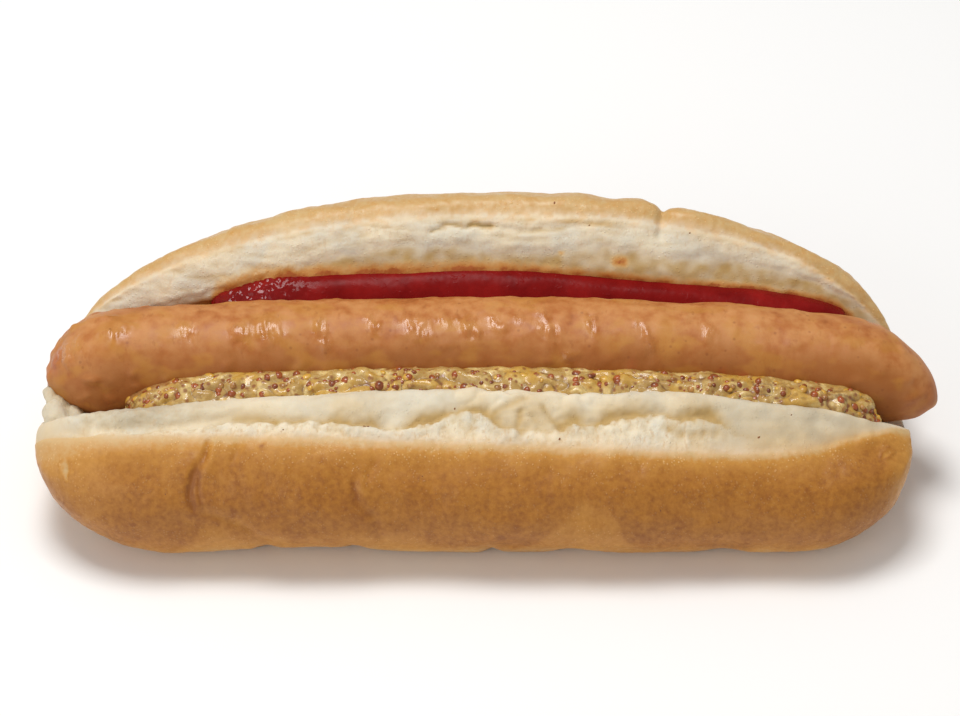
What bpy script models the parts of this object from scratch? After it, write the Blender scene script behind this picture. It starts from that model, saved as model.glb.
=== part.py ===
"""A hot dog: a bun slit along its top and opened out, with a sausage lying in the slit,
a bead of ketchup behind the sausage and a bead of grainy mustard in front of it.

The bun's length runs along X, its opened front half faces -Y, and Z is up. The origin is
on the table, under the middle of the whole hot dog.
"""

import math

import bmesh
import bpy
from mathutils import Matrix, Vector

MM = 0.001

# Places along X are measured from near the bun's middle, and set_on_origin shifts them in the end.

# The bun's ends along X. Each end's last ring stays this share open, and has a flat cap. The
# outline gets so many points for each of its keys, and one ring at each station.
BUN_LEFT = -86.6 * MM
BUN_RIGHT = 82.1 * MM
LEFT_BLUNTNESS = 0.03
RIGHT_BLUNTNESS = 0.2
BUN_STATIONS = 48
SAMPLES_PER_KEY = 2

# The sausage's ends along X, its half thickness, and the length over which each end rounds off.
SAUSAGE_LEFT = -85.8 * MM
SAUSAGE_RIGHT = 88.2 * MM
SAUSAGE_RADIUS = 10.3 * MM
SAUSAGE_LEFT_END = 13.5 * MM
SAUSAGE_RIGHT_END = 19.5 * MM
SAUSAGE_STATIONS = 46
SAUSAGE_SIDES = 28

# Its middle line lies highest and furthest back here, and bows forwards and down to both tips.
SAUSAGE_TOP = Vector((2.0, 3.0, 26.0)) * MM
SAUSAGE_LEFT_BOW = Vector((0, -3.4, -1.6)) * MM
SAUSAGE_RIGHT_BOW = Vector((0, -4.8, -3.6)) * MM
SAUSAGE_BOW_POWER = 2.2
SAUSAGE_RIGHT_TIP_DROP = Vector((0, -2.6, -2.9)) * MM

# A gap that keeps touching foods apart.
GAP = 0.35 * MM

# The bun's outline across its length, as key points (y, z) in millimetres that one smooth
# closed curve runs through. Each has its place at the middle of the bun and at the left and
# the right tip, and the lengths over which it rounds off towards them.
FRONT_KEYS = {
    "base middle": ((0.0, -1.5), (2.0, 10.0), (1.0, 8.0), 26, 24),
    "base front": ((-22.0, -1.5), (-12.0, 12.5), (-12.0, 12.5), 26, 24),
    "chin": ((-30.2, 3.6), (-16.0, 14.0), (-16.0, 14.5), 26, 24),
    "belly": ((-34.0, 11.8), (-17.5, 16.5), (-17.5, 17.0), 24, 22),
    "brow": ((-31.5, 20.4), (-17.0, 18.4), (-17.0, 20.5), 24, 24),
    "crust edge": ((-24.8, 26.4), (-16.2, 19.4), (-13.5, 22.8), 20, 50),
    "crumb": ((-19.5, 28.6), (-11.8, 21.6), (-9.5, 25.0), 20, 50),
    "crest": ((-14.8, 30.8), (-10.6, 21.8), (-7.2, 24.0), 20, 40),
}
BACK_KEYS = {
    "face": ((15.4, 36.5), (7.0, 10.5), (8.0, 10.0), 84, 79),
    "crust edge": ((20.8, 46.0), (7.5, 10.5), (8.5, 9.5), 84, 79),
    "rim": ((25.6, 46.8), (8.0, 10.0), (9.0, 8.5), 84, 79),
    "shoulder": ((31.5, 40.6), (9.0, 9.5), (10.5, 8.5), 84, 79),
    "back": ((34.5, 27.0), (10.0, 9.0), (12.0, 8.0), 66, 56),
    "heel": ((30.5, 10.0), (9.5, 8.5), (11.5, 7.5), 38, 34),
    "base back": ((21.0, -1.5), (6.5, 9.0), (8.0, 7.0), 26, 24),
}

# These two also follow the sausage's bow.
BOWED_KEYS = ("crumb", "crest")

# The slit follows the sausage. Each key lies at a turn in degrees around the sausage's middle
# line, with its distance clear of the skin at the middle of the bun and its turn at the tips.
SLIT_KEYS = {
    "groove front": (177, 3.2, 222),
    "slit front": (216, 0.9, 245),
    "slit floor": (270, 0.9, 270),
    "slit back": (322, 0.9, 280),
    "groove back": (373, 2.0, 289),
}
SLIT_RUN = 45 * MM
LEAST_SLIT_CLEARANCE = 0.6

# How much the front crust edge moves in y and z for each unit of length towards the right.
CRUST_EDGE_SKEW = Vector((0, -0.03, -0.024))

# Each bead fills the wedge between the sausage and the bread, from its lowest turn around the
# sausage up to one turn on the skin and others on the bread, at its left end, middle and right
# end, and swells above those. It stays this many degrees inside the bread's own edge.
BREAD_EDGE_MARGIN = 3
BEADS = {
    "ketchup": {
        "ends": (-54.5, 71.0),
        "runs": (16, 10),
        "lowest turn": 12,
        "skin turn": 42,
        "bread turns": (34, 38, 25),
        "bread edge": (BACK_KEYS, "crust edge"),
        "swell": 0.9,
    },
    "mustard": {
        "ends": (-69.5, 75.6),
        "runs": (14, 8),
        "lowest turn": 194,
        "skin turn": 158,
        "bread turns": (166, 166, 166),
        "bread edge": (FRONT_KEYS, "crest"),
        "swell": 1.1,
    },
}
BEAD_STATIONS = 40


def clear_scene():
    for item in list(bpy.data.objects):
        bpy.data.objects.remove(item)


def quarter_ellipse(t):
    """0 at t = 0, rising steeply at first, and 1 from t = 1 on."""
    return math.sqrt(1 - (1 - min(max(t, 0.0), 1.0)) ** 2)


def stations(left, right, count, crowding=0.75):
    """Places along X from left to right, closer together towards both ends."""
    places = []
    for step in range(count):
        even = step / (count - 1)
        crowded = (1 - math.cos(math.pi * even)) / 2
        places.append(left + (right - left) * (crowding * crowded + (1 - crowding) * even))
    return places


def smooth_loop(keys, samples):
    """Points on a closed Catmull-Rom curve through the keys, with so many for each key."""
    points = []
    count = len(keys)
    for i in range(count):
        before, start, end, after = (keys[(i + k) % count] for k in (-1, 0, 1, 2))
        for step in range(samples):
            t = step / samples
            points.append(
                0.5
                * (
                    2 * start
                    + (end - before) * t
                    + (2 * before - 5 * start + 4 * end - after) * t**2
                    + (3 * start - before - 3 * end + after) * t**3
                )
            )
    return points


def sausage_rounding(x):
    """1 along the sausage, falling to 0 at both its tips."""
    left = quarter_ellipse((x - SAUSAGE_LEFT) / SAUSAGE_LEFT_END)
    return left * quarter_ellipse((SAUSAGE_RIGHT - x) / SAUSAGE_RIGHT_END)


def sausage_middle(x):
    """The sausage's middle line at x, before its right tip's own drop."""
    away = x - SAUSAGE_TOP.x
    bow = SAUSAGE_LEFT_BOW if away < 0 else SAUSAGE_RIGHT_BOW
    reach = (SAUSAGE_LEFT if away < 0 else SAUSAGE_RIGHT) - SAUSAGE_TOP.x
    middle = SAUSAGE_TOP + bow * (away / reach) ** SAUSAGE_BOW_POWER
    return Vector((x, middle.y, middle.z))


def around_sausage(x, turn, distance):
    """The point at a turn in degrees around the sausage's middle line."""
    turn = math.radians(turn)
    return sausage_middle(x) + distance * Vector((0, math.cos(turn), math.sin(turn)))


def end_share(x, left_run, right_run):
    """How far a key has come from its tip towards its place at the middle of the bun."""
    left = quarter_ellipse((x - BUN_LEFT) / left_run)
    right = quarter_ellipse((BUN_RIGHT - x) / right_run)
    left = LEFT_BLUNTNESS + (1 - LEFT_BLUNTNESS) * left
    return left * (RIGHT_BLUNTNESS + (1 - RIGHT_BLUNTNESS) * right)


def outer_keys(x, table):
    keys = {}
    for name, (middle, left_tip, right_tip, left_run, right_run) in table.items():
        tip = left_tip if x < 0 else right_tip
        tip = Vector((x, tip[0] * MM, tip[1] * MM))
        middle = Vector((x, middle[0] * MM, middle[1] * MM))
        bow = Vector()
        if table is FRONT_KEYS and name == "crust edge":
            middle += CRUST_EDGE_SKEW * x
        if name in BOWED_KEYS:
            bow = sausage_middle(x) - sausage_middle(SAUSAGE_TOP.x)
            bow.x = 0
        keys[name] = tip.lerp(middle, end_share(x, left_run * MM, right_run * MM)) + bow
    return keys


def slit_keys(x):
    keys = {}
    share = end_share(x, SLIT_RUN, SLIT_RUN)
    for name, (turn, clearance, tip_turn) in SLIT_KEYS.items():
        turn = tip_turn + (turn - tip_turn) * share
        clearance = LEAST_SLIT_CLEARANCE + (clearance - LEAST_SLIT_CLEARANCE) * share
        keys[name] = around_sausage(x, turn, SAUSAGE_RADIUS + clearance * MM)
    return keys


def bun_section(x):
    """The bun's outline at x, flat where it meets the table."""
    keys = [outer_keys(x, FRONT_KEYS), slit_keys(x), outer_keys(x, BACK_KEYS)]
    section = smooth_loop([point for group in keys for point in group.values()], SAMPLES_PER_KEY)
    for point in section:
        point.z = max(point.z, 0.0)
    return section


def bread_distance(x, turn):
    """How far from the sausage's middle line the bread begins at a turn in degrees."""
    center = sausage_middle(x)
    ray = around_sausage(x, turn, 1.0) - center
    section = bun_section(x)
    found = []
    for start, end in zip(section, section[1:] + section[:1]):
        edge = end - start
        across = ray.y * edge.z - ray.z * edge.y
        if abs(across) < 1e-12:
            continue
        away = start - center
        along_ray = (away.y * edge.z - away.z * edge.y) / across
        along_edge = (away.y * ray.z - away.z * ray.y) / across
        if along_ray > 0 and 0 <= along_edge <= 1:
            found.append(along_ray)
    return min(found)


def bread_rise(x, bead):
    """How many degrees a bead reaches up the bread at x, from its lowest turn."""
    table, name = bead["bread edge"]
    edge = outer_keys(x, table)[name] - sausage_middle(x)
    edge_turn = math.degrees(math.atan2(edge.z, edge.y))
    room = abs(edge_turn - bead["lowest turn"]) - BREAD_EDGE_MARGIN
    left_turn, middle_turn, right_turn = bead["bread turns"]
    left_end, right_end = bead["ends"]
    if x < 0:
        turn = middle_turn + (left_turn - middle_turn) * x / (left_end * MM)
    else:
        turn = middle_turn + (right_turn - middle_turn) * x / (right_end * MM)
    rise = turn - bead["lowest turn"]
    return math.copysign(min(abs(rise), room), rise)


def bead_section(x, bead):
    """The outline of a bead at x: up the sausage, over its top, and down the bread."""
    left, right = (end * MM for end in bead["ends"])
    left_run, right_run = (run * MM for run in bead["runs"])
    fill = quarter_ellipse((x - left) / left_run) * quarter_ellipse((right - x) / right_run)
    fill = 0.1 + 0.9 * fill
    lowest = bead["lowest turn"]
    skin = SAUSAGE_RADIUS + GAP
    up_skin = []
    up_bread = []
    for k in range(5):
        turn = lowest + (bead["skin turn"] - lowest) * fill * k / 4
        up_skin.append(around_sausage(x, turn, skin))
        turn = lowest + bread_rise(x, bead) * fill * k / 4
        up_bread.append(around_sausage(x, turn, bread_distance(x, turn) - 1.5 * GAP))
    top = []
    for k in range(1, 5):
        point = up_skin[-1].lerp(up_bread[-1], k / 5)
        point.z += fill * bead["swell"] * MM * 4 * k / 5 * (1 - k / 5)
        top.append(point)
    return up_skin + top + up_bread[::-1]


def loft(name, sections, material):
    """One closed solid through rings with equal numbers of points, with a cap on each end."""
    mesh = bmesh.new()
    rings = [[mesh.verts.new(point) for point in ring] for ring in sections]
    for ring, following in zip(rings, rings[1:]):
        for i in range(len(ring)):
            k = (i + 1) % len(ring)
            mesh.faces.new((ring[i], ring[k], following[k], following[i]))
    mesh.faces.new(reversed(rings[0]))
    mesh.faces.new(rings[-1])
    bmesh.ops.recalc_face_normals(mesh, faces=mesh.faces)
    data = bpy.data.meshes.new(name)
    mesh.to_mesh(data)
    mesh.free()
    data.materials.append(material)
    data.shade_smooth()
    piece = bpy.data.objects.new(name, data)
    bpy.context.scene.collection.objects.link(piece)
    return piece


def food_material(name, color, roughness):
    material = bpy.data.materials.new(name)
    material.use_nodes = True
    shader = material.node_tree.nodes["Principled BSDF"]
    shader.inputs["Base Color"].default_value = (*color, 1)
    shader.inputs["Roughness"].default_value = roughness
    shader.inputs["Metallic"].default_value = 0
    return material


def make_bun():
    rings = [bun_section(x) for x in stations(BUN_LEFT, BUN_RIGHT, BUN_STATIONS)]
    return loft("bun", rings, food_material("bun bread", (0.45, 0.21, 0.07), 0.6))


def make_sausage():
    rings = []
    inset = 0.25 * MM
    for x in stations(SAUSAGE_LEFT + inset, SAUSAGE_RIGHT - inset, SAUSAGE_STATIONS, 0.9):
        rounding = sausage_rounding(x)
        drop = SAUSAGE_RIGHT_TIP_DROP * (1 - rounding) if x > 0 else Vector()
        turns = [360 * side / SAUSAGE_SIDES for side in range(SAUSAGE_SIDES)]
        rings.append([around_sausage(x, turn, SAUSAGE_RADIUS * rounding) + drop for turn in turns])
    return loft("sausage", rings, food_material("sausage skin", (0.5, 0.2, 0.07), 0.35))


def make_bead(name, color):
    bead = BEADS[name]
    left, right = (end * MM for end in bead["ends"])
    rings = [bead_section(x, bead) for x in stations(left, right, BEAD_STATIONS)]
    return loft(name, rings, food_material(name, color, 0.3))


def set_on_origin(pieces):
    """Moves the pieces so that the origin is under the middle of their common box."""
    points = [vertex.co for piece in pieces for vertex in piece.data.vertices]
    low = Vector([min(point[axis] for point in points) for axis in range(3)])
    high = Vector([max(point[axis] for point in points) for axis in range(3)])
    middle = (low + high) / 2
    for piece in pieces:
        piece.data.transform(Matrix.Translation((-middle.x, -middle.y, -low.z)))


def main():
    clear_scene()
    bun = make_bun()
    sausage = make_sausage()
    ketchup = make_bead("ketchup", (0.2, 0.01, 0.01))
    mustard = make_bead("mustard", (0.5, 0.3, 0.06))
    set_on_origin([bun, sausage, ketchup, mustard])


main()
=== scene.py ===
import math
import random

import bpy
import numpy as np
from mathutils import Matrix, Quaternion, Vector, noise


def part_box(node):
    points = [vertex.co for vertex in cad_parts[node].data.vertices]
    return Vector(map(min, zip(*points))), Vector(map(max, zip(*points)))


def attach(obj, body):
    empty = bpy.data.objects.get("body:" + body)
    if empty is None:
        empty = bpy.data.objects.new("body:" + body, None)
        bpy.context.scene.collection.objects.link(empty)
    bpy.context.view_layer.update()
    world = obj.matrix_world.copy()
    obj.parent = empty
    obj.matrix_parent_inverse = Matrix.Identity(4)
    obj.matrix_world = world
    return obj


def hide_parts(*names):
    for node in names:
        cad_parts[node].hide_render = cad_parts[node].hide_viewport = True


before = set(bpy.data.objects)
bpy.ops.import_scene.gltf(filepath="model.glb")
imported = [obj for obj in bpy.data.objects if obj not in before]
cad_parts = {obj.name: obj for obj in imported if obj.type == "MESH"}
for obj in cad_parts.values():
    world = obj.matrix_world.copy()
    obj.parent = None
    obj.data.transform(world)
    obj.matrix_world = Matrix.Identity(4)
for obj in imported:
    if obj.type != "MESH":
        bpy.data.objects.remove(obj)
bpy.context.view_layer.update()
bpy.ops.object.select_all(action="DESELECT")

mm = 0.001

# Sections are drawn in millimetres with x = 0 near the bun's middle, and this moves them
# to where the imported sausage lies.
sausageLow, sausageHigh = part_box("sausage")
place = np.array([sausageLow.x / mm + 85.55, sausageHigh.y / mm - 13.3, 0.0])


def openUp(t):  # 0 at a tip, steep at first, 1 from t = 1 on
    return np.sqrt(1 - (1 - np.clip(t, 0, 1)) ** 2)


def easeTo(value, start, end):  # 0 at start, 1 at end, smooth between
    t = np.clip((value - start) / (end - start), 0, 1)
    return t * t * (3 - 2 * t)


def hump(value, middle, width):
    return np.exp(-(((value - middle) / width) ** 2))


def alongLength(left, right, step, endRun):  # places along x, crowded at both rounded ends
    count = round(2 * endRun / step)
    ramp = endRun * (np.arange(count) / count) ** 2
    middle = np.linspace(left + endRun, right - endRun, round((right - left - 2 * endRun) / step) + 1)
    return np.concatenate([left + ramp, middle, (right - ramp)[::-1]])


def wobble(points, size, seed=0.0):  # smooth noise of about -0.5 to 0.5, size in mm per wave
    spots = (points / np.array(size, float) + seed * 7.31).reshape(-1, 3).tolist()
    return np.array([noise.noise(spot) for spot in spots]).reshape(points.shape[:-1])


def nearPath(u, v, path, width):  # 1 on a line of (u, v) places, fading to 0 over a width
    nearest = np.full(np.shape(u), 1e9)
    for (u0, v0), (u1, v1) in zip(path, path[1:]):
        long, high = u1 - u0, v1 - v0
        t = np.clip(((u - u0) * long + (v - v0) * high) / (long**2 + high**2), 0, 1)
        nearest = np.minimum(nearest, (u - u0 - t * long) ** 2 + (v - v0 - t * high) ** 2)
    return np.exp(-nearest / width**2)


def smoothLine(x, points):  # heights on a smooth line through (x, height) points
    u, v = np.array(points, float).T
    slopes = np.gradient(v, u)
    i = np.clip(np.searchsorted(u, x) - 1, 0, len(u) - 2)
    gap = u[i + 1] - u[i]
    t = np.clip((x - u[i]) / gap, 0, 1)
    start = (2 * t**3 - 3 * t**2 + 1) * v[i] + (t**3 - 2 * t**2 + t) * gap * slopes[i]
    return start + (3 * t**2 - 2 * t**3) * v[i + 1] + (t**3 - t**2) * gap * slopes[i + 1]


def outward(rows):  # unit normals of rows of points, each row once round the piece
    along = np.gradient(rows, axis=0)
    around = np.roll(rows, -1, 1) - np.roll(rows, 1, 1)
    normal = np.cross(along, around)
    return normal / np.maximum(np.linalg.norm(normal, axis=-1, keepdims=True), 1e-9)


def wrapSheet(name, rows, material, masks={}):
    # a grid wrapped round into a closed skin, its seam merged and its ends filled
    stations, around = rows.shape[:2]
    bpy.ops.object.select_all(action="DESELECT")
    bpy.ops.mesh.primitive_grid_add(x_subdivisions=around, y_subdivisions=stations - 1, size=1)
    piece = bpy.context.object
    piece.name = piece.data.name = name
    closed = np.concatenate([rows, rows[:, :1]], axis=1)
    piece.data.vertices.foreach_set("co", ((closed + place) * mm).astype(np.float32).ravel())
    for mask, values in masks.items():
        attribute = piece.data.attributes.new(mask, "FLOAT", "POINT")
        attribute.data.foreach_set("value", np.concatenate([values, values[:, :1]], axis=1).astype(np.float32).ravel())
    bpy.ops.object.mode_set(mode="EDIT")
    bpy.ops.mesh.select_mode(type="VERT")
    bpy.ops.mesh.select_all(action="SELECT")
    bpy.ops.mesh.remove_doubles(threshold=1e-6)
    bpy.ops.mesh.select_all(action="DESELECT")
    bpy.ops.mesh.select_non_manifold()
    bpy.ops.mesh.fill_holes(sides=0)
    bpy.ops.mesh.select_mode(type="FACE")
    bpy.ops.mesh.select_all(action="SELECT")
    bpy.ops.mesh.normals_make_consistent(inside=False)
    bpy.ops.object.mode_set(mode="OBJECT")
    bpy.ops.object.shade_smooth()
    piece.data.materials.append(material)
    return piece


def rgb(red, green, blue):  # a colour from 0 to 255 as the shader wants it
    linear = [c / 255 / 12.92 if c <= 10 else ((c / 255 + 0.055) / 1.055) ** 2.4 for c in (red, green, blue)]
    return (*linear, 1.0)


def startMaterial(name, sockets):
    material = bpy.data.materials.new(name)
    material.use_nodes = True
    shader = material.node_tree.nodes["Principled BSDF"]
    for socket, value in sockets.items():
        shader.inputs[socket].default_value = value
    return material, material.node_tree, shader


def addNode(tree, kind, inputs={}, **settings):
    node = tree.nodes.new("ShaderNode" + kind)
    for setting, value in settings.items():
        setattr(node, setting, value)
    for key, value in inputs.items():
        socket = node.inputs[key]
        if isinstance(value, bpy.types.NodeSocket):
            tree.links.new(value, socket)
        else:
            socket.default_value = value
    return node


def mask(tree, name):
    return addNode(tree, "Attribute", attribute_name=name).outputs["Fac"]


def grain(tree, coords, scale, detail=2.0, roughness=0.5, distortion=0.0):
    settings = {"Vector": coords, "Scale": scale, "Detail": detail, "Roughness": roughness, "Distortion": distortion}
    return addNode(tree, "TexNoise", settings).outputs["Fac"]


def stretch(tree, coords, scale):  # the same coordinates with each axis scaled on its own
    return addNode(tree, "Mapping", {"Vector": coords, "Scale": scale}).outputs["Vector"]


def spots(tree, coords, scale, small, large):  # 1 in round spots about the cells' middles, 0 outside
    cells = addNode(tree, "TexVoronoi", {"Vector": coords, "Scale": scale})
    return remap(tree, cells.outputs["Distance"], small, large, 1.0, 0.0)


def remap(tree, value, low, high, toLow=0.0, toHigh=1.0):
    inputs = {"Value": value, "From Min": low, "From Max": high, "To Min": toLow, "To Max": toHigh}
    return addNode(tree, "MapRange", inputs, interpolation_type="SMOOTHSTEP").outputs["Result"]


def calc(tree, operation, a, b=0.0):
    return addNode(tree, "Math", {0: a, 1: b}, operation=operation).outputs[0]


def blend(tree, factor, a, b, mode="MIX"):
    node = addNode(tree, "Mix", data_type="RGBA", blend_type=mode)
    for index, value in ((0, factor), (6, a), (7, b)):
        if isinstance(value, bpy.types.NodeSocket):
            tree.links.new(value, node.inputs[index])
        else:
            node.inputs[index].default_value = value
    return node.outputs[2]


def ramp(tree, factor, stops):
    node = addNode(tree, "ValToRGB", {"Fac": factor})
    elements = node.color_ramp.elements
    while len(elements) < len(stops):
        elements.new(0.5)
    for element, (position, color) in zip(elements, stops):
        element.position, element.color = position, color
    return node.outputs["Color"]


def raiseBy(tree, height, distance, strength=1.0, after=None):  # a bump, distance in mm
    inputs = {"Height": height, "Distance": distance * mm, "Strength": strength}
    if after is not None:
        inputs["Normal"] = after
    return addNode(tree, "Bump", inputs).outputs["Normal"]


bun = {
    "left": -86.6, "right": 82.2,          # its ends along x
    "leftBlunt": 0.02, "rightBlunt": 0.04,  # how open each end's last ring stays
    "step": 0.38, "endRun": 12.0,
    # how much higher the front crust's edge lies along x
    "edgeRise": ((-86, 1.2), (-50, 1.3), (-30, 1), (0, 0), (48, -2), (66, -1.7), (82, -1.2)),
    # and how much lower the front crumb's crest
    "crestDrop": ((-86, 0), (-74, 1), (-62, 1.7), (-50, 1.7), (-38, 0.9), (-24, 0)),
    # how many points run round the outline from each key to the next
    "samples": (4, 10, 14, 14, 14, 14, 14, 6, 3, 3, 3, 4, 12, 26, 9, 10, 10, 10, 8, 4),
}

# The outline's keys in order. Each has its place (y, z) at the bun's middle and at its left and
# right tips, and how far from each tip it takes to open up.
outline = {
    "baseMiddle": ((0.0, -1.5), (1.0, 12.9), (0.0, 10.9), 26, 24),
    "baseFront": ((-22.0, -1.5), (-9.5, 15.6), (-9.8, 14.6), 26, 24),
    "chin": ((-30.2, 3.6), (-14.5, 16.9), (-14.2, 17.4), 26, 24),
    "belly": ((-34.0, 11.8), (-16.9, 17.6), (-16.8, 18.8), 24, 22),
    "brow": ((-31.5, 20.4), (-17.7, 18.1), (-18.0, 19.8), 22, 24),
    "crustEdge": ((-24.8, 26.4), (-16.8, 18.8), (-17.0, 20.7), 20, 50),
    "crumb": ((-19.5, 28.6), (-14.2, 18.6), (-13.2, 22.5), 20, 50),
    "crest": ((-14.8, 30.8), (-8.6, 19.0), (-7.8, 21.7), 20, 38),
    # the slit's keys lie round the sausage: a turn in degrees, a clearance, and the turn at the tips
    "grooveFront": (177, 3.2, 222),
    "slitFront": (216, 0.9, 245),
    "slitFloor": (270, 0.9, 270),
    "slitBack": (322, 0.9, 280),
    "grooveBack": (373, 2.0, 289),
    "face": ((15.4, 36.5), (7.0, 11.4), (8.4, 14.6), 84, 72),
    "backCrustEdge": ((20.8, 46.0), (8.0, 10.9), (9.7, 15.6), 84, 72),
    "rim": ((25.6, 46.8), (8.5, 10.6), (10.6, 15.8), 84, 72),
    "shoulder": ((31.5, 40.6), (9.0, 10.3), (11.0, 14.6), 84, 72),
    "back": ((34.5, 27.0), (9.0, 10.1), (10.8, 12.6), 66, 54),
    "heel": ((30.5, 10.0), (8.3, 10.2), (9.4, 10.6), 38, 34),
    "baseBack": ((21.0, -1.5), (5.6, 11.6), (6.0, 9.9), 26, 24),
}
keyOf = {name: number for number, name in enumerate(outline)}

sausage = {
    "left": -85.79, "right": 88.19, "tips": (-85.8, 88.2),
    "radius": 10.3, "leftEnd": 13.5, "rightEnd": 19.5,
    "top": (2.0, 3.0, 26.0),                             # where its middle line lies highest
    "bow": ((-3.4, -1.6), (-4.8, -3.6)), "power": 2.2,   # y, z that it sinks by at each tip
    "leftDrop": (-0.6, -2.6), "rightDrop": (-2.6, -2.9),
    "step": 0.4, "around": 120,
}


def sausageLine(x):  # the (y, z) of the sausage's middle line
    away = x - sausage["top"][0]
    reach = np.where(away < 0, sausage["top"][0] - sausage["tips"][0], sausage["tips"][1] - sausage["top"][0])
    share = np.abs(away / reach) ** sausage["power"]
    left, right = np.array(sausage["bow"])
    bow = np.where((away < 0)[:, None], left, right) * share[:, None]
    return np.array(sausage["top"][1:]) + bow


def roundSausage(x, turn, distance):
    turn = np.radians(turn)
    return sausageLine(x) + distance[:, None] * np.stack([np.cos(turn), np.sin(turn)], -1)


def tipShare(x, leftRun, rightRun):
    left = bun["leftBlunt"] + (1 - bun["leftBlunt"]) * openUp((x - bun["left"]) / leftRun)
    right = bun["rightBlunt"] + (1 - bun["rightBlunt"]) * openUp((bun["right"] - x) / rightRun)
    return left * right


def bunKeys(x):  # (y, z) of every key of the outline at each x
    keys = []
    slitShare = tipShare(x, 45, 45)
    bow = sausageLine(x) - np.array(sausage["top"][1:])
    for name, spec in outline.items():
        if len(spec) == 3:
            turn, clearance, tipTurn = spec
            distance = sausage["radius"] + 0.6 + (clearance - 0.6) * slitShare
            keys.append(roundSausage(x, tipTurn + (turn - tipTurn) * slitShare, distance))
            continue
        middle, leftTip, rightTip, leftRun, rightRun = spec
        tip = np.where((x < 0)[:, None], np.array(leftTip), np.array(rightTip))
        middle = np.array(middle) + np.zeros((len(x), 1))
        if name == "crustEdge":
            middle = middle + np.outer(np.interp(x, *zip(*bun["edgeRise"])), (0.8, 0.63))
        if name in ("crumb", "crest"):
            middle = middle - np.outer(np.interp(x, *zip(*bun["crestDrop"])), (0, 1 if name == "crest" else 0.5))
        key = tip + (middle - tip) * tipShare(x, leftRun, rightRun)[:, None]
        keys.append(key + bow * {"crumb": 0.5, "crest": 1}.get(name, 0))
    return np.array(keys)


def onOutline(keys, k):  # the outline's points at a place k among its keys
    i = math.floor(k)
    t = k - i
    a, b, c, d = (keys[(i + j) % len(keys)] for j in (-1, 0, 1, 2))
    return 0.5 * (2 * b + (c - a) * t + (2 * a - 5 * b + 4 * c - d) * t**2 + (3 * b - a - 3 * c + d) * t**3)


def arcLengths(places):  # how far round the middle section each place lies, in mm
    fine = np.linspace(0, len(outline), 20 * len(outline) + 1)
    middle = np.array([onOutline(bunKeys(np.array([2.0])), k)[0] for k in fine])
    middle[:, 1] = np.maximum(middle[:, 1], 0)
    lengths = np.concatenate([[0], np.cumsum(np.linalg.norm(np.diff(middle, axis=0), axis=1))])
    return np.interp(places, fine, lengths)


beads = {
    "ketchup": {
        "ends": (-54.5, 71.5), "runs": (16, 20), "lowest": 12, "skin": 42, "bread": (34, 38, 25),
        "wall": (11.0, 14.2), "edge": "backCrustEdge", "swell": 0.9, "step": 0.3,
    },
    "mustard": {
        "ends": (-69.5, 75.6), "runs": (19, 8), "lowest": 194, "skin": 158, "bread": (166, 166, 166),
        "wall": (9.4, 7.0), "edge": "crest", "swell": 1.1, "step": 0.25,
    },
}


def turnOf(points):  # degrees round the sausage, from -90 to 270
    return (np.degrees(np.arctan2(points[..., 1], points[..., 0])) + 90) % 360 - 90


def breadWall(x, bead):  # turns, distances and outline places of the bread behind a bead
    keys = bunKeys(x)
    places = np.linspace(*bead["wall"], 60)
    wall = np.array([onOutline(keys, k) for k in places]) - sausageLine(x)
    return turnOf(wall), np.linalg.norm(wall, axis=-1), places


def breadRise(x, bead):  # the turn up to which a bead reaches on the bread
    edge = turnOf(bunKeys(x)[keyOf[bead["edge"]]] - sausageLine(x))
    room = np.abs(edge - bead["lowest"]) - 3
    left, middle, right = bead["bread"]
    turn = np.where(x < 0, middle + (left - middle) * x / bead["ends"][0], middle + (right - middle) * x / bead["ends"][1])
    rise = turn - bead["lowest"]
    return np.sign(rise) * np.minimum(np.abs(rise), room)


def beadFill(x, bead):
    left, right = bead["ends"]
    leftRun, rightRun = bead["runs"]
    return 0.1 + 0.9 * openUp((x - left) / leftRun) * openUp((right - x) / rightRun)


def beadContact(x, bead):  # the outline place where a bead's top meets the bread, at each x
    turns, _, places = breadWall(x, bead)
    top = bead["lowest"] + breadRise(x, bead) * beadFill(x, bead)
    order = 1 if turns[-1, 0] > turns[0, 0] else -1
    return np.array([np.interp(top[i], turns[::order, i], places[::order]) for i in range(len(x))])


def beadRows(bead, counts, sink):  # rows of points round a bead: up the skin, over the top, down the bread
    left, right = bead["ends"]
    x = alongLength(left, right, bead["step"], 6)
    fill, rise = beadFill(x, bead), breadRise(x, bead)
    turns, distances, _ = breadWall(x, bead)
    order = 1 if turns[-1, 0] > turns[0, 0] else -1
    middle = sausageLine(x)
    skinCount, topCount, breadCount = counts
    rows = []
    for i in range(len(x)):
        def breadPoint(share):
            turn = bead["lowest"] + rise[i] * fill[i] * share
            distance = np.interp(turn, turns[::order, i], distances[::order, i]) + sink[1]
            return middle[i] + distance * np.array([math.cos(math.radians(turn)), math.sin(math.radians(turn))])

        def skinPoint(share):
            turn = math.radians(bead["lowest"] + (bead["skin"] - bead["lowest"]) * fill[i] * share)
            return middle[i] + (sausage["radius"] - sink[0]) * np.array([math.cos(turn), math.sin(turn)])

        ring = [skinPoint(k / skinCount) for k in range(skinCount)]
        start, end = skinPoint(1), breadPoint(1)
        for k in range(topCount):
            t = k / topCount
            point = start + (end - start) * t
            point[1] += fill[i] * bead["swell"] * 4 * t * (1 - t)
            ring.append(point)
        ring += [breadPoint(1 - k / breadCount) for k in range(breadCount)]
        rows.append(ring)
    rows = np.array(rows)
    return x, np.concatenate([np.broadcast_to(x[:, None, None], (*rows.shape[:2], 1)), rows], axis=-1)


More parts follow.
